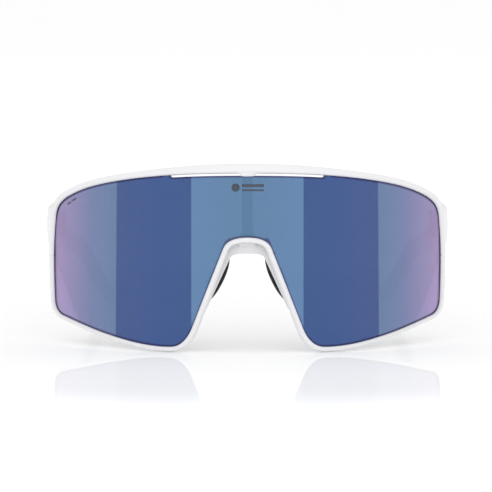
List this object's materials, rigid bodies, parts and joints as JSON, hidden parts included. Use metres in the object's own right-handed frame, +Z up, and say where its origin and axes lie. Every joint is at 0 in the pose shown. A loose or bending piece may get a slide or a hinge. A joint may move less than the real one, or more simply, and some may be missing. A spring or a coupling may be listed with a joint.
{
  "type": "wraparound sport sunglasses",
  "caption": "One-piece shield sunglasses: a cylindrical mirror lens in a slim white rim with brow vents, a carried nose saddle with bendable pads, and folding temples.",
  "frame": {"origin": "middle of the footprint, on the surface the glasses stand on", "axes": "+Z up, -Y the way the lens faces, +Y along the temples, +X the wearer's left"},
  "size_m": [0.1444, 0.168, 0.0658],
  "materials": {
    "frame": "satin white moulded nylon",
    "lens": "polished polycarbonate, blue mirror coat turning violet at the sides",
    "pad": "matt black soft rubber",
    "tip": "matt pale soft rubber",
    "steel": "bright stainless"
  },
  "bodies": {
    "front": {"upper_frame": "frame", "lower_rim": "frame", "seam_pins": "steel", "lens": "lens", "nose_bridge": "frame", "hinge_front_right": "steel", "hinge_screw_right": "steel", "hinge_front_left": "steel", "hinge_screw_left": "steel"},
    "temple_right": {"temple_right": "frame", "hinge_rear_right": "steel", "temple_core_right": "steel", "temple_tip_right": "tip"},
    "nose_right": {"nose_wire_right": "steel", "nose_pad_right": "pad"},
    "temple_left": {"temple_left": "frame", "hinge_rear_left": "steel", "temple_core_left": "steel", "temple_tip_left": "tip"},
    "nose_left": {"nose_wire_left": "steel", "nose_pad_left": "pad"}
  },
  "joints": [
    {"name": "temple_right_fold", "type": "hinge", "parent": "front", "child": "temple_right", "pos_m": [-0.06609, -0.03427, 0.04092], "axis": [0, -0.1045, -0.9945], "range_deg": [0, 90]},
    {"name": "temple_left_fold", "type": "hinge", "parent": "front", "child": "temple_left", "pos_m": [0.06609, -0.03427, 0.04092], "axis": [0, 0.1045, 0.9945], "range_deg": [0, 82]},
    {"name": "nose_pad_right_bend", "type": "hinge", "parent": "front", "child": "nose_right", "pos_m": [-0.01205, -0.07364, 0.02576], "axis": [0.4384, 0.094, 0.8939], "range_deg": [-8, 10]},
    {"name": "nose_pad_left_bend", "type": "hinge", "parent": "front", "child": "nose_left", "pos_m": [0.01205, -0.07364, 0.02576], "axis": [0.4384, -0.094, -0.8939], "range_deg": [-8, 10]}
  ]
}
